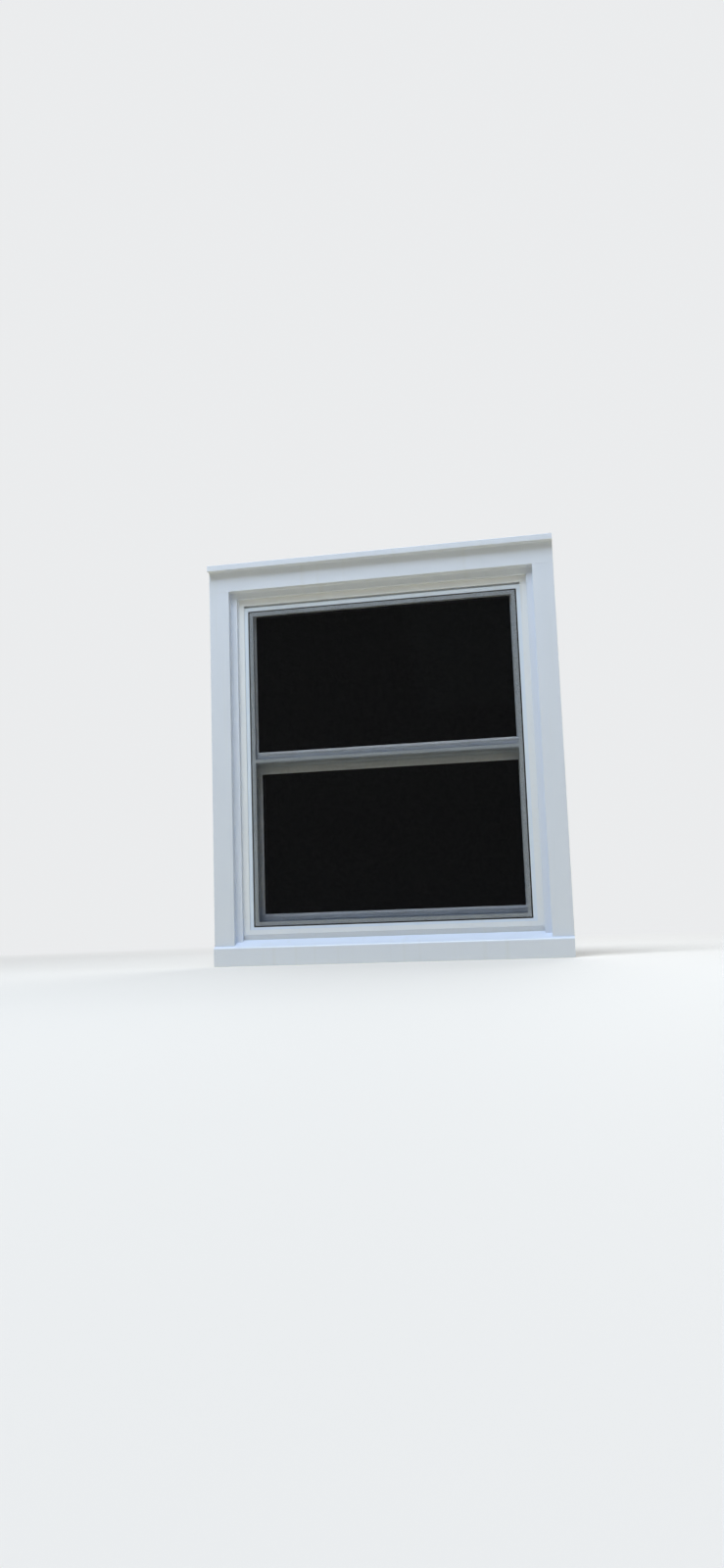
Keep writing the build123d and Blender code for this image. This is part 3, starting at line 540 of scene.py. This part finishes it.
@dataclass(frozen=True)
class WoolPile:
    """Short dense pile with a sheen."""

    colour: Triple = (0.46, 0.47, 0.49)
    deep: Triple = (0.20, 0.205, 0.22)
    rough: float = 0.9
    sheen: float = 0.6
    sheen_rough: float = 0.4
    tufts: Pattern = Pattern(1900.0, 2.0, depth=0.5 * MM, strength=0.8)

    def build(self, name: str, grain: Grain) -> bpy.types.Material:
        """Makes the material.

        Args:
            name: Name of the material.
            grain: Way in which the tufts lie.

        Returns:
            The material.
        """
        board = MaterialBoard(name)
        board.set(Base_Color=board.blend(board.tone(self.tufts, grain), self.colour, self.deep),
                  Roughness=self.rough, Sheen_Weight=self.sheen, Sheen_Roughness=self.sheen_rough,
                  Normal=board.relief(self.tufts, grain))
        return board.material


class Finish(Enum):
    """The window's finishes."""

    # White sheet tinted blue: painted sky light.
    SHEET = CoilStock()
    # White vinyl tinted blue: painted sky light.
    VINYL = ExtrudedVinyl()
    # White sash and bead vinyl tinted blue: painted sky light, strongest on the bead.
    SASH = ExtrudedVinyl(colour=(0.53, 0.645, 0.82))
    BEAD = ExtrudedVinyl(colour=(0.62, 0.72, 0.87), rough=0.26)
    PAINT = PaintedPine()
    SHIM = BarePine()
    # Glass tinted near-black: painted shade of the room behind it.
    GLASS = WindowGlass()
    # White screen frame tinted blue: painted sky light.
    SCREEN_BAR = CoilStock(colour=(0.57, 0.69, 0.87), streak=(0.51, 0.60, 0.72), rough=0.33)
    SPACER = Metal((0.62, 0.63, 0.65), (0.50, 0.51, 0.53), 0.35)
    ZINC = Metal((0.60, 0.61, 0.63), (0.46, 0.45, 0.42), 0.32)
    STRIP = Metal((0.40, 0.41, 0.43), (0.25, 0.25, 0.27), 0.25)
    SPLINE = Moulding((0.012, 0.012, 0.013), (0.03, 0.03, 0.032), 0.6)
    THREAD = Moulding((0.003, 0.003, 0.004), (0.008, 0.008, 0.009), 0.62, shine=0.15)
    NYLON = Moulding((0.70, 0.72, 0.73), (0.61, 0.62, 0.62), 0.45)
    # White latches and locks tinted blue to match the vinyl's painted sky light.
    LATCH = Moulding((0.69, 0.75, 0.82), (0.62, 0.66, 0.71), 0.34)
    LOCK = Moulding((0.69, 0.74, 0.80), (0.62, 0.66, 0.70), 0.32,
                    skin=Pattern(700.0, 3.0, depth=0.05 * MM, strength=0.5))
    PILE = WoolPile()


class Palette:
    """Makes each finish once for each way of its grain."""

    def __init__(self) -> None:
        """Starts with no material made."""
        self.made: dict[tuple[str, str], bpy.types.Material] = {}

    def get(self, finish: Finish, grain: Grain = Grain.NONE) -> bpy.types.Material:
        """Gives a finish's material.

        Args:
            finish: The finish.
            grain: Way of its grain.

        Returns:
            The material, made at its first use.
        """
        key = (finish.name.lower(), grain.name.lower())
        if key not in self.made:
            self.made[key] = finish.value.build("_".join(key), grain)
        return self.made[key]

    def dress(self, finish: Finish, grain: Grain, *names: str) -> None:
        """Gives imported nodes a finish.

        Args:
            finish: The finish.
            grain: Way of its grain.
            names: Names of the nodes.
        """
        for name in names:
            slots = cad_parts[name].data.materials
            slots.clear()
            slots.append(self.get(finish, grain))
            log.info("%s: %s", name, finish.name.lower())


# Surfaces


def sweep(paths: np.ndarray, side: np.ndarray, section: np.ndarray,
          closed: bool) -> tuple[np.ndarray, list[list[int]]]:
    """Carries a closed section along paths.

    A point is the path's point, plus the section's first value times the side, plus its second
    value times the cross product of the side and the path's direction.

    Args:
        paths: Points of n paths of m points, as (n, m, 3).
        side: The section's first axis at each point, broadcast to (n, m, 3).
        section: Outline of k points, as (k, 2).
        closed: Whether each path runs back to its start.

    Returns:
        The vertices as (n * m * k, 3), and the faces.
    """
    count, steps, around = paths.shape[0], paths.shape[1], section.shape[0]
    if closed:
        along = np.roll(paths, -1, axis=1) - np.roll(paths, 1, axis=1)
    else:
        along = np.gradient(paths, axis=1)
    along = along / np.linalg.norm(along, axis=2, keepdims=True)
    side = np.broadcast_to(side, paths.shape)
    up = np.cross(side, along)
    points = (paths[:, :, None, :] + section[None, None, :, 0, None] * side[:, :, None, :]
              + section[None, None, :, 1, None] * up[:, :, None, :])
    index = np.arange(count * steps * around).reshape(count, steps, around)
    after = np.roll(index, -1, axis=1) if closed else index[:, 1:]
    here = index if closed else index[:, :-1]
    quads = np.stack([here, after, np.roll(after, -1, axis=2), np.roll(here, -1, axis=2)], axis=-1)
    faces = quads.reshape(-1, 4).tolist()
    if not closed:
        faces += index[:, 0].tolist() + index[:, -1, ::-1].tolist()
    return points.reshape(-1, 3), faces


def ring_outline(radius: float, points: int, ribs: float = 0.0) -> np.ndarray:
    """Round outline: angle by angle, the radius plus a rib's height at every other point.

    Args:
        radius: Radius in metres.
        points: Number of points.
        ribs: Height of the ribs in metres.

    Returns:
        The outline as (points, 2).
    """
    place = np.arange(points)
    angle = place * 2 * np.pi / points
    reach = radius + ribs * (place % 2)
    return np.stack([reach * np.cos(angle), reach * np.sin(angle)], axis=1)


def add_piece(name: str, points: np.ndarray, faces: list[list[int]],
              material: bpy.types.Material, smooth: bool = False) -> bpy.types.Object:
    """Puts a surface into the scene.

    Args:
        name: Name of the piece.
        points: Vertices as (n, 3), in metres.
        faces: Faces as lists of indices.
        material: Its finish.
        smooth: Whether it is shaded smooth.

    Returns:
        The object, at the origin.
    """
    mesh = bpy.data.meshes.new(name)
    mesh.from_pydata(points.tolist(), [], faces)
    mesh.polygons.foreach_set("use_smooth", np.full(len(mesh.polygons), smooth))
    mesh.materials.append(material)
    mesh.validate()
    mesh.update()
    piece = bpy.data.objects.new(name, mesh)
    bpy.context.scene.collection.objects.link(piece)
    log.info("%s: %d faces", name, len(mesh.polygons))
    return piece


# Sub-assemblies


@dataclass
class WoodFrame:
    """Jambs, sill, casings, stops, cap and shims."""

    palette: Palette

    def build(self) -> None:
        """Dresses the wood."""
        dress = self.palette.dress
        dress(Finish.PAINT, Grain.UPRIGHT,
              "left_jamb", "right_jamb", "left_casing", "right_casing", "inner_stops")
        dress(Finish.PAINT, Grain.LEVEL,
              "head_jamb", "sill_board", "blind_stops", "head_casing", "cap_board")
        dress(Finish.SHIM, Grain.UPRIGHT, "shims")


@dataclass
class Cladding:
    """Folded aluminium over the outside wood."""

    palette: Palette

    def build(self) -> None:
        """Dresses the folded sheets."""
        dress = self.palette.dress
        dress(Finish.SHEET, Grain.LEVEL, "cap_cladding", "head_cladding", "sill_cladding")
        dress(Finish.SHEET, Grain.UPRIGHT, "left_cladding", "right_cladding")


@dataclass
class VinylUnit:
    """Frame of the vinyl unit with its screws."""

    palette: Palette

    def build(self) -> None:
        """Dresses the unit's frame."""
        dress = self.palette.dress
        dress(Finish.VINYL, Grain.LEVEL, "unit_head", "unit_sill")
        dress(Finish.VINYL, Grain.UPRIGHT, "unit_left_jamb", "unit_right_jamb")
        dress(Finish.ZINC, Grain.NONE, "jamb_screws")


@dataclass
class InsectScreen:
    """Insect screen: dressed bars, a woven mesh of separate threads and a ribbed spline.

    Attributes:
        palette: The finishes.
        groove: Width of the bars' face outside the groove.
        groove_width: Width of the groove that the mesh is pressed into.
        thread: Half width of a thread.
        thread_sides: Sides of a thread.
        warp_pitch: Pitch of the upright threads, 18 to the inch.
        weft_pitch: Pitch of the level threads, 16 to the inch.
        tuck: Depth to which a thread's end is pressed into the groove.
        wall_gap: Thread's middle to the groove's wall, in half widths.
        bend_start: Start of the bend over the lip, inside it, in gaps to the wall.
        bend_end: End of the bend, past the lip, in gaps to the wall.
        bend_drop: Depth of the thread where the bend ends, in half widths.
        warp_lift: Height of the upright threads' middle on the face, in half widths.
        weft_lift: Height of the level threads' middle on the face, in half widths.
        spline_radius: Radius of the spline.
        spline_rib: Height of its ribs.
        spline_depth: Depth of its middle below the face.
        spline_points: Points around it.
        corner: Radius of its line at a corner.
        corner_points: Points of its line at a corner.
    """

    palette: Palette
    groove: float = 10.9 * MM
    groove_width: float = 4.0 * MM
    thread: float = 0.175 * MM
    thread_sides: int = 4
    warp_pitch: float = INCH_IN_MM / 18 * MM
    weft_pitch: float = INCH_IN_MM / 16 * MM
    tuck: float = 3.0 * MM
    wall_gap: float = 1.5
    bend_start: float = 2.0
    bend_end: float = 0.6
    bend_drop: float = 0.6
    warp_lift: float = 1.0
    weft_lift: float = 1.5
    spline_radius: float = 1.62 * MM
    spline_rib: float = 0.12 * MM
    spline_depth: float = 2.2 * MM
    spline_points: int = 24
    corner: float = 1.8 * MM
    corner_points: int = 7

    def build(self) -> None:
        """Dresses the bars and makes the mesh and the spline."""
        dress = self.palette.dress
        dress(Finish.SCREEN_BAR, Grain.UPRIGHT, "screen_left_bar", "screen_right_bar")
        dress(Finish.SCREEN_BAR, Grain.LEVEL,
              "screen_top_bar", "screen_bottom_bar", "screen_cross_bar")
        dress(Finish.NYLON, Grain.NONE, "screen_corner_keys")
        self.spline()
        self.mesh()

    def edges(self) -> tuple[float, float, float, float, float]:
        """Outer edges of the screen's frame.

        Returns:
            Left, right, bottom and top, and the depth of the outside face.
        """
        low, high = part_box("screen_bottom_bar")
        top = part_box("screen_top_bar")[1].z
        return low.x, high.x, low.z, top, low.y

    def threads(self, start: float, end: float, places: np.ndarray, layer: float,
                upright: bool) -> tuple[np.ndarray, list[list[int]]]:
        """Parallel threads, each straight over the opening and tucked into the groove at its ends.

        A thread's path is its line at the layer's depth; past each lip it turns over the edge
        and runs straight down beside the spline.

        Args:
            start: Lip of the frame at the threads' start.
            end: Lip at their end.
            places: Place of each thread across them.
            layer: Depth of the threads' middle.
            upright: Whether they run up.

        Returns:
            The vertices and faces.
        """
        wall = self.thread * self.wall_gap
        out, inside = self.bend_end * wall, self.bend_start * wall
        run = np.array([start - wall, start - out, start + inside,
                        end - inside, end + out, end + wall])
        drop = self.bend_drop * self.thread
        deep = np.array([self.tuck, drop, 0.0, 0.0, drop, self.tuck]) + layer
        count = len(places)
        across = np.repeat(places[:, None], len(run), axis=1)
        line = np.repeat(run[None], count, axis=0)
        depth = np.repeat(deep[None], count, axis=0)
        paths = np.stack([across, depth, line] if upright else [line, depth, across], axis=-1)
        side = np.array([1.0, 0.0, 0.0] if upright else [0.0, 0.0, 1.0])
        return sweep(paths, side, ring_outline(self.thread, self.thread_sides), False)

    def mesh(self) -> None:
        """Makes the woven mesh.

        Its threads are square rods set on edge, so half of a thread's surface is twice the root
        of two times its half width, and over its pitch that is the share of the mesh it comes to.
        """
        left, right, bottom, top, face = self.edges()
        lip = self.groove + self.groove_width
        warp = np.arange(left + lip + self.warp_pitch / 2, right - lip, self.warp_pitch)
        weft = np.arange(bottom + lip + self.weft_pitch / 2, top - lip, self.weft_pitch)
        up, up_faces = self.threads(bottom + lip, top - lip, warp,
                                    face - self.warp_lift * self.thread, True)
        level, level_faces = self.threads(left + lip, right - lip, weft,
                                          face - self.weft_lift * self.thread, False)
        shift = len(up)
        faces = up_faces + [[i + shift for i in loop] for loop in level_faces]
        piece = add_piece("insect_mesh", np.concatenate([up, level]), faces,
                          self.palette.get(Finish.THREAD))
        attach(piece, "window_frame")
        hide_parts("screen_mesh")

    def spline(self) -> None:
        """Makes the ribbed cord in the groove, along a rectangle with rounded corners.

        A corner's point is its centre plus the corner radius times the cosine and sine of the
        angle, and the section is a circle with a rib at every other point.
        """
        left, right, bottom, top, face = self.edges()
        inset = self.groove + self.groove_width / 2
        centre = np.array([(right + left) / 2, (top + bottom) / 2])
        half = np.array([(right - left) / 2, (top - bottom) / 2]) - inset - self.corner
        signs = np.array([[1, 1], [-1, 1], [-1, -1], [1, -1]])
        quarter = np.pi / 2
        turn = (np.linspace(0.0, quarter, self.corner_points)[None]
                + np.arange(len(signs))[:, None] * quarter)
        bend = self.corner * np.stack([np.cos(turn), np.sin(turn)], axis=-1)
        flat = ((centre + half * signs)[:, None] + bend).reshape(-1, 2)
        depth = np.full(len(flat), face + self.spline_depth)
        path = np.stack([flat[:, 0], depth, flat[:, 1]], axis=1)[None]
        section = ring_outline(self.spline_radius, self.spline_points, self.spline_rib)
        points, faces = sweep(path, np.array([0.0, 1.0, 0.0]), section, True)
        piece = add_piece("ribbed_spline", points, faces, self.palette.get(Finish.SPLINE), True)
        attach(piece, "window_frame")
        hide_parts("screen_spline")


@dataclass
class Sash:
    """One sash with its glass, beads, pile strips and balance fittings.

    Attributes:
        palette: The finishes.
        name: Whether it is the upper or the lower sash.
        rails: Names of its two rails.
        tape_width: Width of a balance tape.
        tape_half: Half of its thickness.
        tape_steps: Points along it.
    """

    palette: Palette
    name: str
    rails: tuple[str, str]
    tape_width: float = 12.0 * MM
    tape_half: float = 0.2 * MM
    tape_steps: int = 40

    def build(self) -> None:
        """Dresses the sash and makes its balance tapes."""
        name, dress = self.name, self.palette.dress
        dress(Finish.SASH, Grain.LEVEL, *self.rails)
        dress(Finish.SASH, Grain.UPRIGHT, f"{name}_left_stile", f"{name}_right_stile")
        dress(Finish.BEAD, Grain.NONE, f"{name}_glazing_beads")
        dress(Finish.GLASS, Grain.NONE, f"{name}_glass")
        dress(Finish.SPACER, Grain.NONE, f"{name}_spacer")
        dress(Finish.PILE, Grain.NONE, f"{name}_weatherstrips")
        dress(Finish.ZINC, Grain.NONE, f"{name}_pivot_bars")
        dress(Finish.NYLON, Grain.NONE, f"{name}_balance_shoes")
        dress(Finish.LATCH, Grain.LEVEL, f"{name}_left_latch", f"{name}_right_latch")
        self.tapes()

    def tapes(self) -> None:
        """Makes the spring tapes: a flat section carried straight up from shoe to coil."""
        node = f"{self.name}_balance_tapes"
        low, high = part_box(node)
        depth = (low.y + high.y) / 2
        rise = np.linspace(low.z, high.z, self.tape_steps)
        sides = np.array([low.x + self.tape_half, high.x - self.tape_half])
        paths = np.stack([np.repeat(sides[:, None], len(rise), axis=1),
                          np.full((len(sides), len(rise)), depth),
                          np.repeat(rise[None], len(sides), axis=0)], axis=-1)
        half = self.tape_width / 2
        section = np.array([[-self.tape_half, -half], [self.tape_half, -half],
                            [self.tape_half, half], [-self.tape_half, half]])
        points, faces = sweep(paths, np.array([1.0, 0.0, 0.0]), section, False)
        piece = add_piece(f"{self.name}_tapes", points, faces, self.palette.get(Finish.STRIP))
        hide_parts(node)
        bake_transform(piece)


@dataclass
class Hardware:
    """Locks, keepers and balance coils."""

    palette: Palette

    def build(self) -> None:
        """Dresses the locks, keepers and coils."""
        dress = self.palette.dress
        dress(Finish.LOCK, Grain.NONE, "lock_bases", "left_lock_cam", "right_lock_cam", "keepers")
        dress(Finish.NYLON, Grain.NONE, "balance_coils")


# Studio


@dataclass(frozen=True)
class Lamp:
    """Square soft lamp.

    Attributes:
        name: Its name.
        place: Its place.
        size: Its side.
        power: Its power in watts.
        colour: Its colour.
    """

    name: str
    place: Triple
    size: float
    power: float
    colour: Triple

    def build(self, target: Triple) -> None:
        """Puts the lamp into the scene.

        Args:
            target: Point that it faces.
        """
        light = bpy.data.lights.new(self.name, "AREA")
        light.size, light.energy, light.color = self.size, self.power, self.colour
        lamp = bpy.data.objects.new(self.name, light)
        lamp.location = self.place
        way = Vector(target) - Vector(self.place)
        lamp.rotation_euler = way.to_track_quat("-Z", "Y").to_euler()
        bpy.context.scene.collection.objects.link(lamp)


@dataclass(frozen=True)
class Camera:
    """Camera with the photograph's place, turn and lens.

    Attributes:
        place: Its place.
        yaw: Turn to the right from straight ahead, in degrees.
        pitch: Turn up, in degrees.
        roll: Tilt of the picture, in degrees.
        lens: Focal length, in millimetres.
        sensor: Long side of the sensor, in millimetres.
        clip: Nearest and farthest distance that it shows.
    """

    place: Triple = (0.4678, -2.8703, 0.0820)
    yaw: float = -10.48
    pitch: float = 7.56
    roll: float = 1.90
    lens: float = 24.67
    sensor: float = 36.0
    clip: tuple[float, float] = (0.01, 200.0)

    def build(self) -> None:
        """Puts the camera into the scene."""
        yaw, pitch, roll = (math.radians(angle) for angle in (self.yaw, self.pitch, self.roll))
        forward = Vector((math.sin(yaw) * math.cos(pitch), math.cos(yaw) * math.cos(pitch),
                          math.sin(pitch)))
        right = forward.cross(Vector((0.0, 0.0, 1.0))).normalized()
        down = forward.cross(right)
        across = math.cos(roll) * right + math.sin(roll) * down
        below = -math.sin(roll) * right + math.cos(roll) * down
        data = bpy.data.cameras.new("camera")
        data.lens, data.sensor_width = self.lens, self.sensor
        data.clip_start, data.clip_end = self.clip
        eye = bpy.data.objects.new("camera", data)
        turn = Matrix((across, -below, -forward)).transposed().to_4x4()
        eye.matrix_world = Matrix.Translation(self.place) @ turn
        bpy.context.scene.collection.objects.link(eye)
        bpy.context.scene.camera = eye


@dataclass
class Studio:
    """Pale floor, soft lamps and the camera.

    Attributes:
        pale: Colour of the background.
        floor_height: Height of the floor, at the foot of the frame.
        floor_reach: Half of its side.
        floor_lines: Lines of its grid each way.
        floor_colour: Its colour, as it is seen.
        floor_rough: Its roughness.
        bounce: Its colour to the light that it throws back on the window.
        fade: Distances from the window between which it fades into the background.
        even: Colour of the world's light.
        even_strength: Strength of that light.
        front: Way out of the window that its glass mirrors to the camera.
        front_shade: Colour that shines show there.
        front_edge: Cosines of the turn from that way at which the shade starts and is full.
        target: Point that the lamps face.
        lamps: The lamps.
        camera: The camera.
    """

    pale: Triple = (0.83, 0.84, 0.85)
    floor_height: float = -14.0 * MM
    floor_reach: float = 40.0
    floor_lines: int = 9
    floor_colour: Triple = (0.78, 0.77, 0.75)
    floor_rough: float = 0.75
    bounce: Triple = (0.96, 0.77, 0.47)
    fade: tuple[float, float] = (1.2, 4.5)
    even: Triple = (0.88, 0.94, 1.0)
    even_strength: float = 0.27
    front: Triple = (-0.16, -0.975, 0.15)
    front_shade: Triple = (0.012, 0.016, 0.018)
    front_edge: tuple[float, float] = (0.45, 0.9)
    target: Triple = (0.0, 0.0, 0.5)
    lamps: tuple[Lamp, ...] = (
        Lamp("key", (-0.9, -2.4, 5.2), 3.0, 280.0, (0.90, 0.95, 1.0)),
        Lamp("side", (4.0, -0.8, 2.4), 2.4, 26.0, (0.94, 0.97, 1.0)),
        Lamp("back", (0.8, 4.2, 3.0), 3.0, 80.0, (1.0, 0.99, 0.97)),
    )
    camera: Camera = Camera()

    def build(self) -> None:
        """Makes the floor, the world, the lamps and the camera."""
        self.floor()
        self.world()
        for lamp in self.lamps:
            lamp.build(self.target)
        self.camera.build()
        bpy.context.scene.view_settings.view_transform = "Standard"

    def floor(self) -> None:
        """Makes the floor: a level grid that fades into the background far out."""
        board = MaterialBoard("floor")
        seen = board.seen()
        board.set(Base_Color=board.blend(seen, self.bounce, self.floor_colour),
                  Roughness=self.floor_rough)
        length = board.node("ShaderNodeVectorMath", operation="LENGTH")
        board.link(board.places(), length.inputs[0])
        far = board.reckon("MULTIPLY", board.spread(length.outputs["Value"], 0.0, 1.0, *self.fade),
                           seen)
        glow = board.node("ShaderNodeEmission", Color=(*self.pale, 1.0))
        mixed = board.mix(far, board.shader.outputs["BSDF"], glow.outputs["Emission"])
        board.link(mixed, board.tree.nodes["Material Output"].inputs["Surface"])
        lines = self.floor_lines
        axis = np.linspace(-self.floor_reach, self.floor_reach, lines)
        across, deep = np.meshgrid(axis, axis)
        level = np.full_like(across, self.floor_height)
        points = np.stack([across, deep, level], axis=-1).reshape(-1, 3)
        index = np.arange(lines * lines).reshape(lines, lines)
        faces = np.stack([index[:-1, :-1], index[:-1, 1:], index[1:, 1:], index[1:, :-1]], axis=-1)
        piece = add_piece("floor", points, faces.reshape(-1, 4).tolist(), board.material)

    def world(self) -> None:
        """Makes the world: an even light, pale to the eye, and dim to a shine from the front."""
        world = bpy.data.worlds.new("studio")
        bpy.context.scene.world = world
        world.use_nodes = True
        board = Board(world.node_tree)
        board.tree.nodes.clear()
        way = board.node("ShaderNodeTexCoord")
        facing = board.node("ShaderNodeVectorMath", operation="DOT_PRODUCT")
        facing.inputs[1].default_value = self.front
        board.link(way.outputs["Generated"], facing.inputs[0])
        shade = board.spread(facing.outputs["Value"], 0.0, 1.0, *self.front_edge)
        ray = board.node("ShaderNodeLightPath")
        dim = board.reckon("MULTIPLY", shade, ray.outputs["Is Glossy Ray"])
        backdrop = board.node("ShaderNodeBackground")
        board.link(board.blend(dim, self.pale, self.front_shade), backdrop.inputs["Color"])
        even = board.node("ShaderNodeBackground", Color=(*self.even, 1.0),
                          Strength=self.even_strength)
        mixed = board.mix(board.seen(), even.outputs["Background"],
                          backdrop.outputs["Background"])
        out = board.node("ShaderNodeOutputWorld")
        board.link(mixed, out.inputs["Surface"])


def main() -> None:
    """Builds every sub-assembly and the studio."""
    logging.basicConfig(level=logging.INFO, format="%(name)s %(message)s")
    palette = Palette()
    assemblies = (
        WoodFrame(palette), Cladding(palette), VinylUnit(palette), InsectScreen(palette),
        Sash(palette, "upper", ("upper_top_rail", "upper_check_rail")),
        Sash(palette, "lower", ("lower_check_rail", "lower_bottom_rail")),
        Hardware(palette), Studio(),
    )
    for assembly in assemblies:
        log.info("building %s", type(assembly).__name__)
        assembly.build()


if __name__ == "__main__":
    main()
